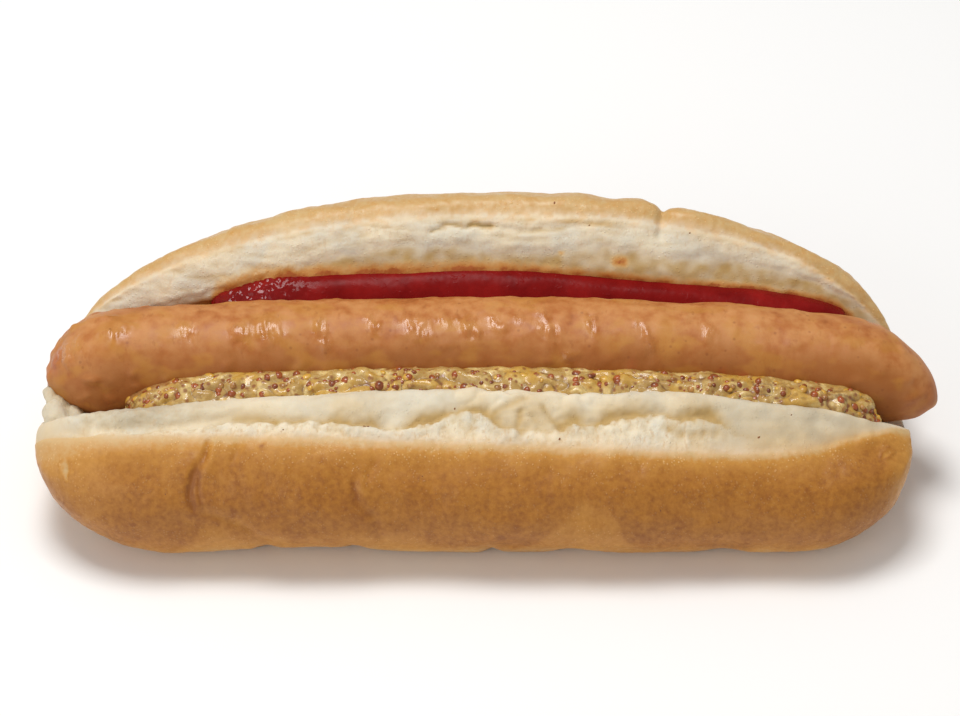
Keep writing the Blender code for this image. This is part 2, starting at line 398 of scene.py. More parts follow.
bread = {
    "uneven": 0.55, "fineUneven": 0.16,
    # creases in the front crust, as (x, mm above the crust's edge)
    # with their depth and width in mm, and how much darker each is painted, a painted shade along the fold; negative
    # values paint it paler
    "crustCreases": (
        (((-51.9, -0.4), (-53, -2.8), (-54.6, -5.4), (-55.6, -8), (-54.8, -11.5)), 0.6, 0.65, 0.24),
        (((-50.6, -0.4), (-51.5, -2.6), (-52.6, -4.6)), -0.25, 0.8, -0.08),
        (((-53.7, -6), (-53.9, -8), (-53.2, -11)), 0.25, 0.4, 0.2),
        (((-52.5, -12.5), (-47, -14.8), (-44, -17.5), (-41.5, -20)), 0.45, 1.0, -0.08),
        (((-20.9, -0.5), (-21.2, -4), (-22.2, -6)), 0.3, 0.8, 0.06),
        (((-24.5, -7.4), (-24.8, -10.8)), 0.3, 0.8, 0.18),
        (((-22.9, -5.5), (-22.7, -8.5)), -0.2, 0.5, -0.12),
        (((-23.6, -11), (-21, -14), (-19.6, -19)), 0.3, 0.9, 0.08),
        (((-46.5, -1), (-47.5, -4)), 0.3, 1.0, 0.0),
        (((29, -1), (29.5, -4)), 0.25, 0.9, 0.0),
    ),
    "blisters": ((-79.5, -6.5, 1.3), (76.5, -1.8, 1.0)),
    "scorches": ((-42, -1.2, 0.6, 0.6), (-66.5, -15.5, 0.4, 0.5), (3, -18.5, 0.6, 0.5), (-31, -3.5, 0.5, 0.25)),
    # places where the front's underside is drawn in: x, depth, half width
    "bottomNotches": ((-36, 1.5, 14), (-41.5, 1.3, 2), (-25, 1.5, 1.8), (1, 0.9, 1.5), (17, 1.0, 4), (46, 0.8, 4)),
    # below this line, as (x, mm above the crust's edge), the front crust is a little paler
    "paleLine": (
        (-90, -34), (-60, -26), (-52, -16), (-42, -19.5), (-30, -19), (-20, -18), (-4, -22.5), (10, -20),
        (15, -13), (19, -9.5), (24, -15), (28, -21), (60, -23.5), (90, -22)),
    "rimNotch": ((34.4, -3), (34.8, 0), (35.4, 6), (36.5, 16)),
    # where the soft roll of the front crumb folds over the torn band, as (x, mm above the crust's
    # edge), and how strong the fold is along x
    "rollFold": (
        (-84, 4), (-70, 2.6), (-58, 2.8), (-53, 5.5), (-44, 6), (-32, 5.8), (-27, 4.9), (-20.5, 3.8),
        (-16.5, 3.9), (-9.5, 5.4), (-6, 7), (0, 6.7), (3, 4.2), (9, 3.7), (13, 3), (15, 4.2),
        (22, 5), (28, 6.5), (33, 6.7), (36.5, 5.9), (42, 6.2), (47, 4), (84, 3)),
    "foldDepth": ((-77, 0), (-62, 0.12), (-50, 0.2), (-34, 0.35), (-27, 1), (-3, 1), (1, 0.7), (12, 0.8),
                  (16, 1), (42, 1), (46, 0.4), (52, 0)),
    # smaller folds in the same crumb, with their depth and width
    "crumbCreases": (
        (((2.2, 6.9), (4.5, 8.6), (7.5, 9.9)), 0.55, 0.7),
        (((6.9, 7.2), (5.9, 4.4)), 0.6, 0.6),
        (((10.8, 8), (12.3, 5.4), (14, 4)), 0.6, 0.65),
        (((-47, 7.5), (-41, 6.4), (-34, 5.9)), 0.35, 1.2),
        (((33.5, 4.2), (38, 3.3), (43, 3.6)), 0.35, 0.8),
    ),
    # the back crumb, as (x, mm above the back crust's edge): a slot, a lip beside it,
    # and the torn band's lower edge
    "slot": ((-10.5, -3.5), (-8.5, -2.5), (1, -2.6)),
    "lip": ((1, -2.7), (9, -3.6), (12, -2.8), (19, -2.2), (24, -1)),
    "tornEdge": (
        (-60, -10), (-45, -9), (-34, -7), (-24, -5.4), (-16, -5), (-8, -5.4), (-1, -6.2), (8, -7.2),
        (14, -6.5), (22, -5.6), (29, -5.4), (38, -5.8), (43, -5), (50, -4.6), (57, -4), (70, -3.2)),
    "stains": ((26.5, -9, 1.2, 0.95), (15, -7.8, 0.5, 0.6)),  # x, height, size, strength
    # the cream crumb colour is the painted shade of the crumb's hollows and folds
    # the dim crumb colour is a greyer painted shade
    "crumbLight": (232, 218, 190), "crumbCool": (222, 213, 192), "crumbShadeCream": (190, 158, 102), "crumbShadeGrey": (176, 162, 136), "crumbToast": (222, 172, 110),
    "pore": (196, 156, 104), "wetPale": (224, 186, 122), "wetBrown": (208, 146, 76), "wetRed": (184, 104, 50),
    "crustPale": (204, 170, 116), "crustGold": (196, 138, 60), "crustBrown": (170, 110, 38), "crustDeep": (143, 84, 26),
    # the light freckle colour, partly a painted glint
    "freckleGlint": (236, 192, 128),
}


def bunMaterial():
    material, tree, shader = startMaterial("bun bread", {
        "Roughness": 0.6, "Subsurface Weight": 0.12, "Subsurface Radius": (0.9, 0.65, 0.4),
        "Subsurface Scale": 0.8 * mm, "IOR": 1.42,
    })
    coords = addNode(tree, "TexCoord").outputs["Object"]
    crumb, bake, toast, wet, hollowShade, torn, paintedShade = (
        mask(tree, name) for name in ("crumb", "bake", "toast", "wet", "hollowShade", "torn", "paintedShade"))
    # crust: golden by the cut and browner below, with soft streaks and fine light freckles that are partly painted
    # glints
    blotch = grain(tree, coords, 90, 3, 0.55)
    streaks = grain(tree, stretch(tree, coords, (1, 0.4, 0.4)), 300, 3, 0.6)
    fine = grain(tree, coords, 1000, 3, 0.6)
    tone = bake
    dapple = grain(tree, coords, 520, 5, 0.7)
    for part, share in ((blotch, 0.24), (streaks, 0.34), (dapple, 0.38), (fine, 0.5)):
        tone = calc(tree, "ADD", tone, calc(tree, "MULTIPLY", calc(tree, "SUBTRACT", part, 0.5), share))
    crustColor = ramp(tree, tone, (
        (0.0, rgb(*bread["crustPale"])), (0.4, rgb(*bread["crustGold"])),
        (0.78, rgb(*bread["crustBrown"])), (1.0, rgb(*bread["crustDeep"]))))
    freckleGlints = calc(tree, "MULTIPLY", spots(tree, coords, 1500, 0.1, 0.36), remap(tree, grain(tree, coords, 260, 3, 0.6), 0.42, 0.6))
    # light freckles, partly painted glints: stronger on the pale crust by the cut, where the small sparkles are
    freckleGlintPart = calc(tree, "MULTIPLY", freckleGlints, remap(tree, bake, 0.35, 0.85, 0.5, 0.1))
    crustColor = blend(tree, freckleGlintPart, crustColor, rgb(*bread["freckleGlint"]))
    # crumb: cream, painted darker and yellower in its hollows, folds and recesses as painted shade (with some random
    # tone), greyer where a painted shade dims it, toasted by the crust, with pores where it is torn
    cloud = grain(tree, coords, 170, 3, 0.5)
    crumbShadeTone = calc(tree, "ADD", hollowShade, calc(tree, "MULTIPLY", calc(tree, "SUBTRACT", cloud, 0.5), 0.6))
    cool = remap(tree, grain(tree, coords, 120, 2, 0.5), 0.4, 0.6)
    crumbColor = blend(tree, cool, rgb(*bread["crumbLight"]), rgb(*bread["crumbCool"]))
    # painted shade: the crumb is blended towards the darker cream where shade falls in its hollows, with some random
    # tone
    crumbColor = blend(tree, crumbShadeTone, crumbColor, rgb(*bread["crumbShadeCream"]))
    # painted shade: the crumb is greyed where shade falls
    crumbColor = blend(tree, paintedShade, crumbColor, rgb(*bread["crumbShadeGrey"]))
    fibres = grain(tree, stretch(tree, coords, (1, 0.5, 0.5)), 1200, 2, 0.55)
    pores = remap(tree, fibres, 0.3, 0.46, 1.0, 0.0)
    poreShare = calc(tree, "MULTIPLY", pores, calc(tree, "ADD", calc(tree, "MULTIPLY", torn, 0.35), 0.05))
    crumbColor = blend(tree, poreShare, crumbColor, rgb(*bread["pore"]))
    crumbColor = blend(tree, calc(tree, "MULTIPLY", toast, 0.75), crumbColor, rgb(*bread["crumbToast"]))
    # where sauce soaked in it is orange, then red-brown
    ragged = calc(tree, "MULTIPLY", calc(tree, "SUBTRACT", grain(tree, coords, 600, 4, 0.6), 0.5), 0.7)
    wetEdge = calc(tree, "ADD", wet, calc(tree, "MULTIPLY", ragged, remap(tree, wet, 0.02, 0.2)))
    wetColor = ramp(tree, wetEdge, (
        (0.3, rgb(*bread["wetPale"])), (0.85, rgb(*bread["wetBrown"])), (1.05, rgb(*bread["wetRed"]))))
    crumbColor = blend(tree, remap(tree, wetEdge, 0.0, 0.75), crumbColor, wetColor)
    color = blend(tree, crumb, crustColor, crumbColor)
    tree.links.new(color, shader.inputs["Base Color"])
    # the crust has a soft shine, the crumb none
    shine = remap(tree, crumb, 0.0, 0.6, 0.4, 0.85)
    shine = calc(tree, "ADD", shine, calc(tree, "MULTIPLY", calc(tree, "SUBTRACT", fine, 0.5), 0.3))
    shine = calc(tree, "SUBTRACT", shine, calc(tree, "MULTIPLY", remap(tree, wet, 0.3, 0.8), 0.4))
    tree.links.new(shine, shader.inputs["Roughness"])
    skin = calc(tree, "ADD", calc(tree, "MULTIPLY", fine, 0.5), calc(tree, "MULTIPLY", freckleGlints, 0.8))
    skin = calc(tree, "ADD", skin, calc(tree, "MULTIPLY", dapple, 1.2))
    crustBump = raiseBy(tree, skin, 0.1, 0.7)
    fuzz = grain(tree, coords, 1900, 2, 0.5)
    crumbHeight = calc(tree, "ADD", calc(tree, "MULTIPLY", fibres, 0.8), calc(tree, "MULTIPLY", fuzz, 0.6))
    crumbShare = calc(tree, "MULTIPLY", crumb, calc(tree, "ADD", calc(tree, "MULTIPLY", torn, 0.7), 0.18))
    crumbBump = raiseBy(tree, calc(tree, "MULTIPLY", crumbHeight, crumbShare), 0.3, 0.7, crustBump)
    tree.links.new(crumbBump, shader.inputs["Normal"])
    return material


def along(x, points):  # a value read off straight lines through (x, value) points, for every row
    return np.interp(x, *zip(*points))[:, None]


def makeBun():
    x = alongLength(bun["left"], bun["right"], bun["step"], bun["endRun"])
    places = np.concatenate([i + np.arange(n) / n for i, n in enumerate(bun["samples"])])
    keys = bunKeys(x)
    section = np.stack([onOutline(keys, k) for k in places], axis=1)
    rows = np.concatenate([np.broadcast_to(x[:, None, None], (*section.shape[:2], 1)), section], axis=-1)
    rows[..., 2] = np.maximum(rows[..., 2], 0)
    length = x[:, None] + np.zeros(len(places))
    arcs = arcLengths(places)
    front = arcs - arcLengths(keyOf["crustEdge"]) + np.zeros((len(x), 1))          # mm above the front crust's edge
    back = arcs - arcLengths(keyOf["backCrustEdge"]) + np.zeros((len(x), 1))       # mm above the back crust's edge
    isFront = (places < 10) + np.zeros((len(x), 1))
    isBack = 1 - isFront
    # features fade out at the ends, where the outline shrinks
    ends = (easeTo(x, bun["left"] + 1, bun["left"] + 12) * easeTo(-x, -bun["right"] + 1, -bun["right"] + 9))[:, None]

    # where the cut crumb begins and ends
    ragged = 0.7 * wobble(rows, 3.5, 1) + 0.9 * wobble(rows, 0.8, 2)
    frontEdge = along(x, ((-86, 4), (-81, 2), (-77, 1), (-71, 0), (56, 0), (63, 1), (70, 3.2), (75, 5), (79, 7.8), (82, 9)))
    soft = along(x, ((-86, 34), (-83, 26), (-78, 12), (-72, 6), (-58, 1.5), (-40, 0.5), (70, 0.5), (82, 2)))
    backEdge = along(x, ((-60, 0.4), (60, 0.4), (75, -3.3), (79, -4.4), (82, -5)))
    crumbFront = np.clip((front - frontEdge + ragged + 0.7 + 0.4 * soft) / (1.5 + soft), 0, 1)
    blur = along(x, ((-70, 2.6), (-45, 1.8), (-10, 1.2), (82, 1.2)))
    crumbBack = easeTo(backEdge - back + ragged, -blur, blur)
    crumb = crumbFront * crumbBack
    inFront, inBack = np.maximum(front - frontEdge, 0), np.maximum(backEdge - back, 0)
    flecks = easeTo(wobble(rows, (2.2, 1.2, 1.2), 19), 0.05, 0.3)
    toast = isFront * np.exp(-inFront / 1.3) + isBack * np.exp(-inBack / 1.2) * 0.6
    toast = toast + isBack * 0.4 * flecks * np.exp(-((inBack / 2.8) ** 2))

    # how brown the crust is
    below, above = np.maximum(frontEdge - front, 0), np.maximum(back - backEdge, 0)
    bakeFront = 0.84 * (1 - np.exp(-((below + 0.2) / 2.2)))
    bakeBack = 0.1 + 0.7 * easeTo(above, 5, 20)
    bake = np.where(isFront, bakeFront, bakeBack)
    bake = bake - isFront * 0.22 * easeTo(-length, 62, 84) * easeTo(front, -20, -4)
    bake = bake - isFront * 0.35 * easeTo(-length, 72, 85) * easeTo(front, -16, -2)
    paleLine = smoothLine(x, bread["paleLine"])[:, None]
    underneath = paleLine - front + 5 * wobble(rows, 6, 15)
    bake = bake - isFront * 0.2 * easeTo(underneath, -2, 3)
    bake = bake - 0.4 * easeTo(-rows[..., 2] + 3 * wobble(rows, (12, 6, 6), 15), -10, -3)
    bake = bake - 0.4 * easeTo(length, 74, 81) * easeTo(front, -30, -16) * isFront

    # unevenness all over, and creases in the crust
    normal = outward(rows)
    onBase = easeTo(rows[..., 2], 0.3, 3)
    lift = bread["uneven"] * 2 * wobble(rows, (24, 15, 15), 3) + bread["fineUneven"] * 2 * wobble(rows, (7, 5, 5), 4)
    lift = lift + 0.09 * wobble(rows, 1.6, 5) * (1 - crumb)
    for path, depth, width, browningAndShade in bread["crustCreases"]:
        near = isFront * nearPath(length + 0.8 * wobble(rows, 3, 14), front, path, width)
        near = near * (0.9 + 0.7 * wobble(rows, 1.8, 44))
        lift = lift - depth * near
        # painted shade: each crease is painted darker along its fold; negative values paint a ridge paler
        bake = bake + browningAndShade * near
    drawnIn = np.zeros(length.shape)
    for spot, deep, wide in bread["bottomNotches"]:
        drawnIn = drawnIn + isFront * deep * hump(length + 0.15 * (front + 27), spot, wide) * hump(front, -29, 6)
    for spot, height, size in bread["blisters"]:
        away = np.sqrt(((length - spot) / size) ** 2 + ((front - height) / (1.5 * size)) ** 2)
        away = away + 0.9 * wobble(rows, 1.2, 45)
        lift = lift + isFront * (0.22 * hump(away, 1, 0.4) - 0.24 * hump(away, 0, 0.7))
        bake = bake + isFront * (0.15 * hump(away, 1.1, 0.3) - 0.4 * easeTo(-away, -1.1, -0.1))
    for spot, height, size, browningAndShade in bread["scorches"]:
        bake = bake + isFront * browningAndShade * hump(np.hypot(length - spot, front - height), 0, size)
    rim = nearPath(length, back, bread["rimNotch"], 0.9) + 0.8 * nearPath(length, back, bread["rimNotch"], 3.0)
    lift = lift - isBack * 0.9 * rim

    # front crumb: a soft roll that folds over a torn band
    fold = smoothLine(x, bread["rollFold"])[:, None] - 0.5 * wobble(rows, 3, 6) - 0.6 * wobble(rows, 1.1, 26)
    over = front - fold
    depth = along(x, bread["foldDepth"]) * (0.8 + 0.9 * wobble(rows, 6, 27))
    onFront = isFront * easeTo(front, 0.1, 1.8) * ends
    eased = easeTo(front, 0.2, 1.8 + 3 * easeTo(-length, 60, 76) + 2 * easeTo(length, 60, 74))  # slower near the ends
    crease = np.exp(np.where(over > 0, -over / 1.1, over / 0.3))
    wideShade = np.exp(np.where(over > 0, -over / 4.2, over / 0.5))
    lift = lift + onFront * eased * depth * (-0.8 * crease + 0.7 * hump(over, 3.4, 2.4) + 0.5 * hump(over, -1.3, 1.3))
    # painted shade under the roll and along its fold, where shade falls
    hollowShade = onFront * np.clip(depth, 0, 1) * (1.1 * wideShade + 0.4 * crease)
    # the smaller folds are cut in and painted darker as painted shade
    for path, deep, width in bread["crumbCreases"]:
        near = nearPath(length + 0.7 * wobble(rows, 2, 28), front, path, width)
        soft = nearPath(length, front, path, 3.2 * width)
        lift = lift - onFront * deep * (near - 0.5 * soft)
        hollowShade = hollowShade + onFront * (0.35 * near + 0.15 * soft)
    isTorn = isFront * np.clip(easeTo(over, 0.5, -0.3) * easeTo(-length, -50, -36) + 0.6 * easeTo(-length, 50, 60), 0, 1)
    puffs = np.abs(wobble(rows + 1.2 * np.stack([wobble(rows, 3, 16)] * 3, -1), (5, 3, 3), 8)) ** 0.55
    puffZone = along(x, ((-80, 0.5), (-60, 0.3), (-30, 0.15), (-12, 0.3), (0, 1), (20, 0.9), (40, 0.35), (50, 0.1)))
    lift = lift + onFront * easeTo(over, -0.5, 1.0) * puffZone * 1.1 * (puffs - 0.42)
    chunks = wobble(rows, (1.6, 2.2, 2.2), 9) + 0.6 * wobble(rows, 0.8, 10)
    lift = lift + onFront * eased * (isTorn * 0.38 * chunks + 0.1 * wobble(rows, 1.4, 17))
    lift = lift + onFront * (1 - isTorn) * 0.3 * np.minimum(wobble(rows, (4, 2.2, 2.2), 48), 0.1)
    lift = lift + onFront * easeTo(length, 32, 50) * 0.28 * wobble(rows, (2.6, 2, 2), 56)
    # painted shade in the dents of the torn chunks, with some random tone
    hollowShade = hollowShade + onFront * isTorn * (0.05 - 0.5 * chunks)
    valley = ((-76, 4.5), (-68, 5.6), (-61, 5.8), (-54, 7.2), (-46, 8.4))
    recess = nearPath(length + 2 * wobble(rows, 4, 50), front + 1.2 * wobble(rows, 3, 51), valley, 1.7)
    lift = lift - onFront * 0.9 * recess
    # painted shade in the recess by the mustard's left end, on the upper crumb at the left and on the dimmer right part
    hollowShade = hollowShade + onFront * (0.1 * recess + 0.2 * hump(length, -66, 14) * easeTo(front, 5.5, 9) + 0.65 * easeTo(length, 36, 56) * (0.45 + 0.55 * easeTo(-front, -9, -1)))

    # painted shade: greyer crumb in the shade under the mustard's left end and on the dimmer right part
    paintedShade = onFront * (0.55 * hump(length, -66, 14) * easeTo(front + 1.5 * wobble(rows, 5, 54), 5, 8.5) + (0.35 + 0.6 * wobble(rows, (4, 2.5, 2.5), 55)) * easeTo(length, 30, 60))

    # back crumb: a torn band over a smooth hollow, with a slot near the top
    tornEdge = smoothLine(x, bread["tornEdge"])[:, None]
    down = back - tornEdge + 0.9 * wobble(rows, 2.5, 12) + 0.4 * wobble(rows, 0.9, 29)
    onBack = isBack * easeTo(-back, 0.2, 1.5) * crumbBack * ends
    tornBack = easeTo(down, -1.4, 0.9)
    lift = lift + onBack * 0.35 * tornBack
    fibrous = wobble(rows, (5, 1.1, 1.1), 18) + 0.6 * wobble(rows, (2.4, 0.6, 0.6), 36)
    fibrous = fibrous * (1 - 0.6 * easeTo(length, 15, 50))
    lift = lift + onBack * tornBack * (0.05 * chunks + 0.13 * fibrous)
    slot = nearPath(length, back + 0.7 * wobble(rows, 2.2, 30), bread["slot"], 0.5)
    lip = nearPath(length, back + 0.4 * wobble(rows, 2, 30), bread["lip"], 0.6)
    lift = lift - onBack * (0.55 * slot + 0.3 * lip) + onBack * 0.15 * wobble(rows, 2.2, 13)
    # painted shade in the slot, beside the lip, by the back crust's edge and in the smooth hollow below the torn band;
    # the torn fibres vary its tone
    hollowShade = hollowShade + onBack * (0.85 * slot + 0.4 * lip + 0.25 * easeTo(-back, 3, 0.6) - 0.7 * tornBack * fibrous)
    hollowShade = hollowShade + onBack * (1 - tornBack) * (0.75 + 0.5 * wobble(rows, 2.2, 53)) * easeTo(down, -0.3, -2.8) * (1 - 0.6 * easeTo(-length, 44, 56))
    # the back rim is lumpy
    lift = lift + isBack * easeTo(back, -1, 1.5) * easeTo(-back, -16, -10) * ends * (
        0.4 * wobble(rows, (6, 4, 4), 37) + 0.12 * wobble(rows, 1.8, 38))

    # ketchup soaks into the bread just above where they meet
    ketchup = beads["ketchup"]
    contact = np.interp(x, *contactLine(ketchup))
    soak = arcs - arcLengths(contact)[:, None] - 1.2
    reach = along(x, ((-64, 6), (-56, 6), (-48, 4.4), (-30, 2.9), (0, 2.6), (30, 1.8), (60, 1.8), (68, 2.6), (74, 3.2)))
    wetZone = easeTo(length, ketchup["ends"][0] - 10, ketchup["ends"][0] + 2)
    wetZone = wetZone * easeTo(-length, -ketchup["ends"][1] - 4, -ketchup["ends"][1])
    wet = isBack * wetZone * np.clip(1 - np.maximum(soak, 0) / reach, 0, 1) * (0.9 + 0.5 * wobble(rows, 4, 20))
    for spot, height, size, strength in bread["stains"]:
        wet = np.maximum(wet, isBack * strength * nearPath(length, back, ((spot - size / 2, height), (spot + size / 2, height)), size))

    rows = rows + normal * (lift * onBase - drawnIn)[..., None]
    rows[..., 2] = np.maximum(rows[..., 2], 0)
    tornAll = np.clip(onFront * isTorn + onBack * (0.15 + 0.3 * tornBack), 0, 1)
    masks = {"crumb": crumb, "bake": bake, "toast": np.clip(toast, 0, 1), "wet": wet,
             "hollowShade": np.clip(hollowShade, 0, 1), "torn": tornAll, "paintedShade": np.clip(paintedShade, 0, 1)}
    piece = wrapSheet("bun_bread", rows, bunMaterial(), masks)
    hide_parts("bun")
    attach(piece, "root")
    print("bun", len(piece.data.vertices))
    surface = {"x": x, "front": front[0], "back": back[0], "isFront": places < 10, "rows": rows, "normal": normal}
    return piece.data.materials[0], surface


def contactLine(bead):
    x = np.linspace(bead["ends"][0], bead["ends"][1], 120)
    return x, beadContact(x, bead)


tufts = {
    # lumps of torn crumb by the sausage's left tip: middle and radius in mm
    "lumps": ((-83.0, -5.6, 20.9, 3.4), (-82.8, -9.6, 19.4, 3.3), (-80.0, -8.0, 19.0, 3.8), (-80.5, -2.6, 16.2, 4.0)),
    "rough": 1.0, "shape": (0.95, 1.15, 0.9),
}


def makeTufts(material):
    for number, (x, y, z, radius) in enumerate(tufts["lumps"]):
        bpy.ops.object.select_all(action="DESELECT")
        bpy.ops.mesh.primitive_ico_sphere_add(subdivisions=5, radius=radius * mm)
        lump = bpy.context.object
        count = len(lump.data.vertices)
        ball = np.empty(count * 3, np.float32)
        lump.data.vertices.foreach_get("co", ball)
        ball = ball.reshape(-1, 3) / mm
        spot = np.array([x, y, z])
        rough = 1.8 * wobble(ball + spot, 5, 50 + number) + 0.7 * wobble(ball + spot, 2, 55) + 0.25 * wobble(ball + spot, 0.8, 60)
        ball = ball * (1 + tufts["rough"] * rough / radius)[:, None] * tufts["shape"] + spot + place
        lump.data.vertices.foreach_set("co", (ball * mm).astype(np.float32).ravel())
        # the tufts' crumb is painted darker in its dents, a painted shade
        for name, values in (("crumb", 1 + 0 * rough), ("hollowShade", np.clip(0.3 - 0.6 * rough, 0, 1)), ("torn", 0.3 + 0 * rough),
                             # the tufts are greyed all over, a painted shade
                             ("paintedShade", 0.4 + 0 * rough)):
            lump.data.attributes.new(name, "FLOAT", "POINT").data.foreach_set("value", values.astype(np.float32))
        bpy.ops.object.shade_smooth()
        lump.data.materials.append(material)
        lump.name = "crumb_tuft_" + str(number + 1)
        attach(lump, "root")
    print("tufts", len(tufts["lumps"]))


specks = {
    # dark toasted specks on the front, as (x, mm above the crust's edge, radius)
    "front": (
        (-23, 4.2, 0.32), (-22.3, 3.8, 0.2), (51.5, 3.2, 0.26), (14, 1.7, 0.22), (-6, 7.9, 0.2), (58, 8.1, 0.15),
        (-38, 2.2, 0.16), (-12, -6, 0.16), (33, -12, 0.18), (-60, -9, 0.16), (44, -15, 0.18)),
    "back": ((20.6, -2.2, 0.2), (13.5, 2.2, 0.28), (40, -1.4, 0.18)),
    "color": (150, 92, 44), "dark": (104, 60, 28),
}


def sprinkle(name, spots, shape, subdivisions, material):
    # one small lump is modelled, then copied to every (point, normal, radius, sink) and joined into one piece
    bpy.ops.object.select_all(action="DESELECT")
    bpy.ops.mesh.primitive_ico_sphere_add(subdivisions=subdivisions, radius=mm)
    first = bpy.context.object
    first.name = first.data.name = name
    bpy.ops.object.mode_set(mode="EDIT")
    bpy.ops.mesh.select_all(action="SELECT")
    bpy.ops.transform.resize(value=shape)
    bpy.ops.transform.vertex_random(offset=0.07 * mm, seed=3)
    bpy.ops.object.mode_set(mode="OBJECT")
    bpy.ops.object.shade_smooth()
    first.data.materials.append(material)
    copies = [first]
    for _ in spots[1:]:
        copy = first.copy()
        copy.data = first.data.copy()
        bpy.context.collection.objects.link(copy)
        copies.append(copy)
    for copy, (point, normal, radius, sink) in zip(copies, spots):
        facing = Vector(normal).to_track_quat("Z", "Y")
        copy.rotation_mode = "QUATERNION"
        copy.rotation_quaternion = facing @ Quaternion((0, 0, 1), random.uniform(0, 6.28))
        copy.location = (Vector(point) - Vector(normal) * radius * sink) * mm
        copy.scale = [radius * random.uniform(0.85, 1.1) for _ in range(3)]
        copy.select_set(True)
    bpy.context.view_layer.objects.active = first
    bpy.ops.object.join()
    bpy.ops.object.transform_apply(location=True, rotation=True, scale=True)
    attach(first, "root")
    return first


def speckMaterial():
    material, tree, shader = startMaterial("toasted specks", {"Roughness": 0.55, "IOR": 1.45})
    coords = addNode(tree, "TexCoord").outputs["Object"]
    tone = grain(tree, coords, 900, 3, 0.6)
    tree.links.new(ramp(tree, tone, ((0.35, rgb(*specks["dark"])), (0.65, rgb(*specks["color"])))), shader.inputs["Base Color"])
    tree.links.new(raiseBy(tree, tone, 0.1, 0.6), shader.inputs["Normal"])
    return material


def makeSpecks(surface):
    random.seed(9)
    spots = []
    for side in ("front", "back"):
        for x, height, radius in specks[side]:
            i = int(np.abs(surface["x"] - x).argmin())
            near = np.abs(surface[side] - height)
            j = int(np.where(surface["isFront"] == (side == "front"), near, 99).argmin())
            spots.append(((surface["rows"][i, j] + place).tolist(), surface["normal"][i, j].tolist(), radius, 0.0))
    sprinkle("toasted_specks", spots, (1.2, 0.8, 0.35), 2, speckMaterial())
    print("specks", len(spots))


skin = {
    # low is the colour of the painted shade on the skin's lower front
    "pale": (206, 146, 90), "light": (194, 130, 74), "brown": (178, 108, 54), "deep": (150, 84, 36), "low": (154, 90, 38),
    # the knot colour is pale, partly a painted highlight for the glints on its wrinkles
    "red": (170, 72, 36), "yellow": (190, 132, 54), "pit": (120, 62, 30), "knot": (236, 208, 186),
    "lumps": 0.5, "ripples": 0.06, "wrinkles": 0.28, "knotAt": (-1.3, 22.2), "pointAt": (-6.8, 16.9),
    # clusters of small wrinkles as (x, turn round the skin in degrees, half width in mm, half height in degrees)
    "clusters": (
        (-80, 113, 3.2, 18), (-71.5, 106, 2.8, 8), (-57.8, 108, 2.2, 16), (-47.5, 112, 2.2, 20), (-42, 112, 3.6, 18),
        (-31.5, 120, 1.8, 22), (-21.6, 108, 1.6, 18), (-13.6, 110, 3, 20), (-7.8, 104, 1.6, 10), (-3.2, 112, 2.4, 20),
        (2.2, 108, 1.8, 18), (6, 102, 1.3, 9), (12.2, 114, 2.2, 22), (20.2, 107, 1.4, 18), (16, 146, 1.8, 8),
        (30.6, 120, 1.2, 26), (43, 112, 1.4, 14)),
    # patches of other colour as (x, turn, half width, half height, how yellow, how red)
    "patches": (
        (35, 122, 2.4, 26, 0.5, 0), (45.5, 156, 1.4, 9, 0, 0.5), (49.5, 160, 1.6, 8, 0, 0.45), (-83.5, 112, 1.8, 34, 0, 0.5),
        (-72, 124, 3, 10, 0.25, 0.25), (28.5, 150, 1.6, 14, 0, 0.35), (24, 132, 2, 10, 0.3, 0.2), (-80, 150, 1.2, 8, 0, 0.4),
        (66, 118, 5, 8, 0, 0.22)),
}


